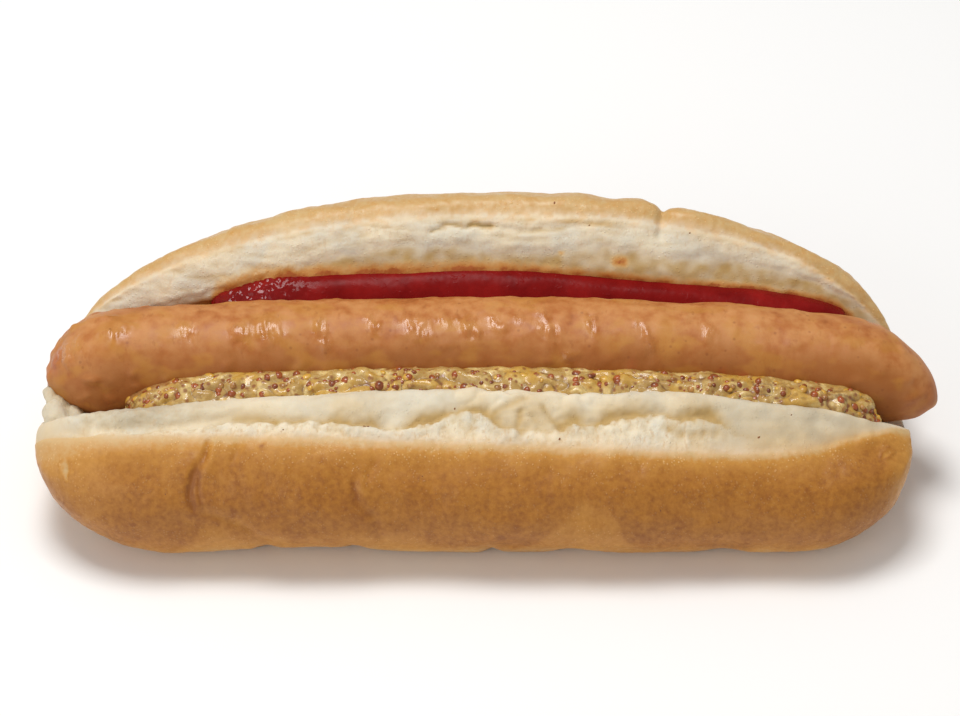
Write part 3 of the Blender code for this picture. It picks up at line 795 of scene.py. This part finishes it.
def sausageMaterial():
    material, tree, shader = startMaterial("sausage skin", {
        "Roughness": 0.35, "Subsurface Weight": 0.05, "Subsurface Radius": (1.0, 0.45, 0.25),
        "Subsurface Scale": 1.5 * mm, "IOR": 1.42, "Specular IOR Level": 0.34, "Coat Roughness": 0.12,
    })
    coords = addNode(tree, "TexCoord").outputs["Object"]
    shade, yellow, red, wrinkled, knot = (
        mask(tree, name) for name in ("shade", "yellow", "red", "wrinkled", "knot"))
    cloud = grain(tree, stretch(tree, coords, (1, 0.75, 0.75)), 130, 2, 0.5)
    mottle = grain(tree, coords, 420, 3, 0.5)
    golden = remap(tree, grain(tree, stretch(tree, coords, (0.7, 1, 1)), 210, 2, 0.5), 0.5, 0.66)
    tone = calc(tree, "ADD", calc(tree, "MULTIPLY", cloud, 0.5), calc(tree, "MULTIPLY", mottle, 0.5))
    color = ramp(tree, tone, (
        (0.28, rgb(*skin["deep"])), (0.42, rgb(*skin["brown"])), (0.55, rgb(*skin["light"])), (0.7, rgb(*skin["pale"]))))
    # painted shade: the skin is painted darker and browner towards the front, below, where less light reaches it
    unevenShade = calc(tree, "ADD", shade, calc(tree, "MULTIPLY", calc(tree, "SUBTRACT", cloud, 0.5), 0.8))
    color = blend(tree, calc(tree, "MULTIPLY", remap(tree, unevenShade, 0.0, 1.0), 0.85), color, rgb(*skin["low"]), "MIX")
    color = blend(tree, calc(tree, "ADD", yellow, calc(tree, "MULTIPLY", golden, 0.4)), color, rgb(*skin["yellow"]))
    raggedRed = remap(tree, calc(tree, "ADD", red, calc(tree, "MULTIPLY", calc(tree, "SUBTRACT", mottle, 0.5), 0.9)), 0.1, 0.8)
    color = blend(tree, calc(tree, "MULTIPLY", raggedRed, 0.75), color, rgb(*skin["red"]))
    dabs = remap(tree, grain(tree, stretch(tree, coords, (1, 0.6, 0.6)), 620, 3, 0.6), 0.58, 0.72)
    color = blend(tree, calc(tree, "MULTIPLY", dabs, 0.35), color, rgb(*skin["deep"]))
    pits = spots(tree, coords, 300, 0.04, 0.13)
    color = blend(tree, calc(tree, "MULTIPLY", pits, 0.35), color, rgb(*skin["pit"]))
    # the knot is painted pale, partly its own pale twist and partly a painted highlight for its glints
    color = blend(tree, calc(tree, "MULTIPLY", knot, 0.8), color, rgb(*skin["knot"]))
    tree.links.new(color, shader.inputs["Base Color"])
    fine = grain(tree, stretch(tree, coords, (1, 0.6, 0.6)), 1500, 3, 0.6)
    gloss = calc(tree, "SUBTRACT", remap(tree, mottle, 0.35, 0.65, 0.44, 0.56), calc(tree, "MULTIPLY", wrinkled, 0.34))
    tree.links.new(gloss, shader.inputs["Roughness"])
    tree.links.new(calc(tree, "MULTIPLY", wrinkled, 0.25), shader.inputs["Coat Weight"])
    relief = calc(tree, "MULTIPLY", fine, calc(tree, "ADD", calc(tree, "MULTIPLY", wrinkled, 0.9), 0.3))
    tree.links.new(raiseBy(tree, relief, 0.18, 0.7), shader.inputs["Normal"])
    return material


def makeSausage():
    x = alongLength(sausage["left"], sausage["right"], sausage["step"], 10)
    rounding = openUp((x - sausage["tips"][0]) / sausage["leftEnd"]) * openUp((sausage["tips"][1] - x) / sausage["rightEnd"])
    drop = np.where((x > 0)[:, None], sausage["rightDrop"], sausage["leftDrop"]) * (1 - rounding)[:, None]
    turns = (np.arange(sausage["around"]) * 360 / sausage["around"])[::-1]
    section = np.stack([roundSausage(x, np.full(len(x), turn), sausage["radius"] * rounding) + drop for turn in turns], axis=1)
    rows = np.concatenate([np.broadcast_to(x[:, None, None], (*section.shape[:2], 1)), section], axis=-1)
    normal = -outward(rows)
    length = x[:, None] + np.zeros(len(turns))
    full = easeTo(rounding, 0.25, 0.8)[:, None]
    dents = np.minimum(wobble(rows, (3.2, 2.4, 2.4), 47) + 0.22, 0)  # shallow dimples, more at the left end
    lift = (skin["lumps"] * wobble(rows, (13, 9, 9), 21) + 0.16 * wobble(rows, (4, 3, 3), 39)) * full
    lift = lift + dents * full * (0.5 + 0.9 * easeTo(-length, 55, 75))
    slanted = rows + np.stack([0.25 * rows[..., 2], 0 * length, 0 * length], -1)
    fromMiddle = easeTo(-length, -45, -25)
    lift = lift + skin["ripples"] * 2 * wobble(slanted, (2.2, 7, 7), 22) * full * (0.3 + 0.7 * fromMiddle)
    # clusters of wrinkles
    wrinkled = np.zeros(length.shape)
    for spot, turn, wide, high in skin["clusters"]:
        away = ((length - spot - 0.05 * (turns - turn) + wobble(rows, 2, 34)) / wide) ** 2 + ((turns - turn) / high) ** 2
        wrinkled = np.maximum(wrinkled, np.exp(-(away**1.5)))
    folds = wobble(slanted, (0.65, 2.6, 2.6), 23) + 0.5 * wobble(rows, (0.5, 1.4, 1.4), 35)
    lift = lift + skin["wrinkles"] * wrinkled * folds * 1.6 - 0.12 * wrinkled
    lift = lift - 0.25 * (1 - full)
    # puckered left tip with a small knot, and a point under the right one
    tip = easeTo(-length, 79, 85)
    lift = lift + tip * 0.6 * wobble(rows, (4, 2.4, 2.4), 24)
    knotAt = skin["knotAt"]
    knot = easeTo(-length, 81.8, 84.2) * hump(rows[..., 1], knotAt[0], 1.4) * hump(rows[..., 2], knotAt[1], 1.7)
    point = hump(length, 87, 1.6) * hump(rows[..., 1], skin["pointAt"][0], 1.7) * hump(rows[..., 2], skin["pointAt"][1], 1.8)
    lift = lift + 1.25 * knot + 1.1 * point
    rows = rows + normal * lift[..., None]
    # painted shade: darker from the top round to the front, a little more on the right and less at both ends
    shade = easeTo(turns, 92, 168) * (1 + 0.25 * easeTo(length, 45, 65)) * (1 - 0.45 * easeTo(-length, 60, 80))
    shade = shade * (1 - 0.55 * easeTo(length, 74, 85))
    yellow, red = np.zeros(length.shape), np.zeros(length.shape)
    for spot, turn, wide, high, howYellow, howRed in skin["patches"]:
        near = np.exp(-((((length - spot) / wide) ** 2 + ((turns - turn) / high) ** 2) ** 1.5))
        yellow, red = np.maximum(yellow, howYellow * near), np.maximum(red, howRed * near)
    fromKnot = np.hypot(rows[..., 1] - knotAt[0], rows[..., 2] - knotAt[1]) + 3 * wobble(rows, 2.5, 46)
    red = np.maximum(red, 0.2 * easeTo(length, 82, 88) + 0.4 * tip * hump(fromKnot, 4, 1.8))
    red = red * (1 - 0.8 * np.clip(2 * knot, 0, 1))
    knot = np.clip(2 * knot * (1 + 1.2 * wobble(rows, 0.9, 52)), 0, 1)
    masks = {"shade": shade, "yellow": yellow, "red": red, "wrinkled": np.maximum(wrinkled, knot), "knot": knot}
    piece = wrapSheet("sausage_link", rows, sausageMaterial(), masks)
    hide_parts("sausage")
    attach(piece, "root")
    print("sausage", len(piece.data.vertices))


sauce = {"red": (127, 21, 19), "dark": (109, 14, 13), "light": (146, 28, 25)}


def ketchupMaterial():
    material, tree, shader = startMaterial("ketchup", {
        "Roughness": 0.2, "Subsurface Weight": 0.1, "Subsurface Radius": (1.0, 0.15, 0.1),
        "Subsurface Scale": 1.0 * mm, "IOR": 1.4, "Specular IOR Level": 0.07, "Coat Roughness": 0.06,
    })
    coords = addNode(tree, "TexCoord").outputs["Object"]
    rippled = mask(tree, "rippled")
    cloud = grain(tree, coords, 160, 3, 0.6)
    color = ramp(tree, cloud, ((0.3, rgb(*sauce["dark"])), (0.55, rgb(*sauce["red"])), (0.8, rgb(*sauce["light"]))))
    tree.links.new(color, shader.inputs["Base Color"])
    fine = grain(tree, coords, 900, 3, 0.6)
    gloss = calc(tree, "SUBTRACT", remap(tree, fine, 0.3, 0.7, 0.24, 0.36), calc(tree, "MULTIPLY", rippled, 0.17))
    tree.links.new(gloss, shader.inputs["Roughness"])
    tree.links.new(calc(tree, "MULTIPLY", rippled, 0.35), shader.inputs["Coat Weight"])
    drops = remap(tree, grain(tree, coords, 700, 2, 0.6), 0.6, 0.7)
    relief = calc(tree, "ADD", calc(tree, "MULTIPLY", fine, calc(tree, "ADD", rippled, 0.12)), calc(tree, "MULTIPLY", drops, 0.5))
    tree.links.new(raiseBy(tree, relief, 0.12, 0.6), shader.inputs["Normal"])
    return material


def makeKetchup():
    x, rows = beadRows(beads["ketchup"], (6, 24, 6), (0.4, 0.8))
    normal = -outward(rows)
    rippled = along(x, ((-55, 1), (-44, 1), (-38, 0.4), (-32, 0), (68, 0), (71, 0.2))) + 0 * rows[..., 0]
    lift = 0.25 * wobble(rows, (9, 4, 4), 31) + rippled * 0.22 * wobble(rows, (1.4, 2, 2), 32)
    lift = lift + (0.03 + 0.3 * rippled) * wobble(rows, (0.6, 1, 1), 33)
    rows = rows + normal * lift[..., None]
    piece = wrapSheet("ketchup_bead", rows, ketchupMaterial(), {"rippled": rippled})
    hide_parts("ketchup")
    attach(piece, "root")
    print("ketchup", len(piece.data.vertices))


grains = {
    # the paste's dark colour is partly its dark gel and partly painted shade in the pits
    "paste": (182, 145, 80), "pasteLight": (224, 196, 130), "pasteDarkShade": (112, 68, 32), "yellow": (202, 156, 62),
    "speck": (134, 68, 34), "juice": (146, 92, 52), "brownSeeds": 170, "tanSeeds": 60, "hulls": 40,
    "brown": ((174, 88, 36), (112, 54, 22)), "tan": ((196, 146, 80), (144, 94, 46)), "hull": ((222, 176, 72), (190, 140, 52)),
}


def mustardMaterial():
    material, tree, shader = startMaterial("mustard paste", {
        "Roughness": 0.25, "Subsurface Weight": 0.2, "Subsurface Radius": (1.0, 0.7, 0.3),
        "Subsurface Scale": 0.8 * mm, "IOR": 1.44, "Coat Weight": 0.4, "Coat Roughness": 0.06,
    })
    coords = addNode(tree, "TexCoord").outputs["Object"]
    pit, juice = mask(tree, "pit"), mask(tree, "juice")
    cloud = grain(tree, coords, 380, 3, 0.6)
    color = ramp(tree, cloud, (
        (0.32, rgb(*grains["paste"])), (0.5, rgb(*grains["paste"])), (0.66, rgb(*grains["pasteLight"]))))
    yellow = remap(tree, grain(tree, coords, 170, 2, 0.5), 0.5, 0.6)
    color = blend(tree, calc(tree, "MULTIPLY", yellow, 0.7), color, rgb(*grains["yellow"]))
    # partly painted shade: the paste is darkened in its pits between lumps, partly as its dark gel, and by fine noise
    depth = calc(tree, "ADD", pit, calc(tree, "MULTIPLY", calc(tree, "SUBTRACT", grain(tree, coords, 900, 3, 0.6), 0.5), 1.0))
    color = blend(tree, calc(tree, "MULTIPLY", remap(tree, depth, 0.2, 1.1), 0.8), color, rgb(*grains["pasteDarkShade"]))
    bits = spots(tree, coords, 620, 0.14, 0.36)
    color = blend(tree, calc(tree, "MULTIPLY", bits, 0.75), color, rgb(*grains["speck"]))
    color = blend(tree, calc(tree, "MULTIPLY", juice, 0.7), color, rgb(*grains["juice"]))
    tree.links.new(color, shader.inputs["Base Color"])
    fine = grain(tree, coords, 1100, 3, 0.65)
    gloss = calc(tree, "SUBTRACT", remap(tree, fine, 0.3, 0.7, 0.2, 0.42), calc(tree, "MULTIPLY", juice, 0.18))
    tree.links.new(gloss, shader.inputs["Roughness"])
    relief = calc(tree, "MULTIPLY", fine, calc(tree, "SUBTRACT", 1.0, juice))
    tree.links.new(raiseBy(tree, relief, 0.25, 0.7), shader.inputs["Normal"])
    return material


def seedMaterial(name, color, dark):
    material, tree, shader = startMaterial(name, {
        "Roughness": 0.3, "Coat Weight": 0.4, "Coat Roughness": 0.08, "IOR": 1.45,
        "Subsurface Weight": 0.15, "Subsurface Radius": (1.0, 0.4, 0.2), "Subsurface Scale": 0.5 * mm,
    })
    coords = addNode(tree, "TexCoord").outputs["Object"]
    tone = grain(tree, coords, 520, 3, 0.6)
    tree.links.new(ramp(tree, tone, ((0.35, rgb(*dark)), (0.65, rgb(*color)))), shader.inputs["Base Color"])
    fine = grain(tree, coords, 2600, 2, 0.6)
    tree.links.new(raiseBy(tree, fine, 0.08, 0.6), shader.inputs["Normal"])
    return material


def seedSpots(rows, normal, count, band, radii, sink):  # places for seeds on the mustard's top
    stations, around = rows.shape[:2]
    found = []
    for _ in range(count):
        i = int(random.uniform(0.01, 0.99) * (stations - 1))
        j = int(random.triangular(*band) * around)
        found.append(((rows[i, j] + place).tolist(), normal[i, j].tolist(), random.uniform(*radii), random.uniform(*sink)))
    return found


def makeMustard():
    x, rows = beadRows(beads["mustard"], (6, 34, 7), (0.4, 0.7))
    normal = outward(rows)
    middle = rows.mean(axis=1, keepdims=True)
    if ((rows - middle) * normal).sum() < 0:
        normal = -normal
    around = np.arange(rows.shape[1]) / rows.shape[1]
    toBread = easeTo(around, 0.15, 0.5)[None]
    juice = easeTo(-rows[..., 0] + 4 * wobble(rows, 3, 49), 54, 62) * easeTo(-around, -0.46, -0.3)[None]
    blobs = np.abs(wobble(rows, (3.6, 2.6, 2.6), 41))
    grit = wobble(rows, 1.3, 43)
    lift = 1.0 * wobble(rows, (5, 3.4, 3.4), 42) + 1.6 * (blobs - 0.13) + 0.22 * grit
    lift = lift * (0.45 + 0.55 * toBread) * (1 - 0.85 * juice)
    # the pit mask paints the paste darker between the blobs, partly as painted shade, more towards the bread and
    # towards the right end
    pit = np.clip(0.75 - 7 * blobs, 0, 1) * (0.1 + 0.9 * toBread) + 0.4 * np.clip(-6 * grit - 0.9, 0, 1) * toBread
    pit = pit + 0.2 * easeTo(rows[..., 0], 30, 60)
    rows = rows + normal * np.clip(lift, -0.8, 1.0)[..., None]
    paste = wrapSheet("mustard_paste", rows, mustardMaterial(), {"pit": pit, "juice": juice})
    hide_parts("mustard")
    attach(paste, "root")
    random.seed(5)
    brown = seedSpots(rows, normal, grains["brownSeeds"], (0.16, 0.85, 0.68), (0.5, 1.0), (0.4, 0.85))
    tan = seedSpots(rows, normal, grains["tanSeeds"], (0.14, 0.85, 0.6), (0.46, 0.8), (0.3, 0.75))
    hull = seedSpots(rows, normal, grains["hulls"], (0.14, 0.82, 0.5), (0.5, 1.1), (0.2, 0.5))
    hull += seedSpots(rows[-14:], normal[-14:], 5, (0.3, 0.8, 0.6), (0.7, 0.95), (-0.2, 0.4))
    sprinkle("mustard_seeds_brown", brown, (1, 1, 0.92), 2, seedMaterial("brown mustard seed", *grains["brown"]))
    sprinkle("mustard_seeds_tan", tan, (1, 1, 0.9), 2, seedMaterial("tan mustard seed", *grains["tan"]))
    sprinkle("mustard_hulls", hull, (1.1, 0.8, 0.6), 2, seedMaterial("seed hull", *grains["hull"]))
    print("mustard", len(paste.data.vertices))


studio = {
    "cameraRise": 42, "distance": 523, "lens": 100, "target": (-1.7, 1.65, 24.8),
    "keyPower": 3.7, "keySize": 0.3, "keyPlace": (-0.1, 0.07, 0.74),
    "fillPower": 1.6, "fillPlace": (-0.5, -0.6, 0.35), "sky": 0.41, "floor": (250, 249, 247),
}


def makeStage():
    bpy.ops.object.select_all(action="DESELECT")
    bpy.ops.mesh.primitive_plane_add(size=4, location=(0, 0, 0))
    floor = bpy.context.object
    floor.name = "floor"
    material, tree, shader = startMaterial("plain floor", {"Base Color": rgb(*studio["floor"]), "Roughness": 0.9})
    floor.data.materials.append(material)
    rise = math.radians(studio["cameraRise"])
    looking = Vector((0, math.cos(rise), -math.sin(rise)))
    target = Vector(studio["target"]) * mm
    bpy.ops.object.camera_add(location=target - looking * studio["distance"] * mm)
    camera = bpy.context.object
    camera.rotation_mode = "QUATERNION"
    camera.rotation_quaternion = looking.to_track_quat("-Z", "Y")
    camera.data.lens = studio["lens"]
    camera.data.sensor_width = 36
    camera.data.clip_start = 0.01
    bpy.context.scene.camera = camera
    for name, power, size, spot in (
            ("key", studio["keyPower"], studio["keySize"], studio["keyPlace"]),
            ("fill", studio["fillPower"], 0.6, studio["fillPlace"])):
        bpy.ops.object.light_add(type="AREA", location=spot)
        light = bpy.context.object
        light.name = name + "_light"
        light.data.energy, light.data.size = power, size
        light.rotation_mode = "QUATERNION"
        light.rotation_quaternion = (target - Vector(spot)).to_track_quat("-Z", "Y")
    world = bpy.data.worlds.new("soft sky")
    world.use_nodes = True
    world.node_tree.nodes["Background"].inputs["Color"].default_value = (1, 1, 1, 1)
    world.node_tree.nodes["Background"].inputs["Strength"].default_value = studio["sky"]
    bpy.context.scene.world = world
    bpy.context.scene.view_settings.view_transform = "Standard"
    print("stage")


breadMaterial, bunSurface = makeBun()
makeTufts(breadMaterial)
makeSpecks(bunSurface)
makeSausage()
makeKetchup()
makeMustard()
makeStage()
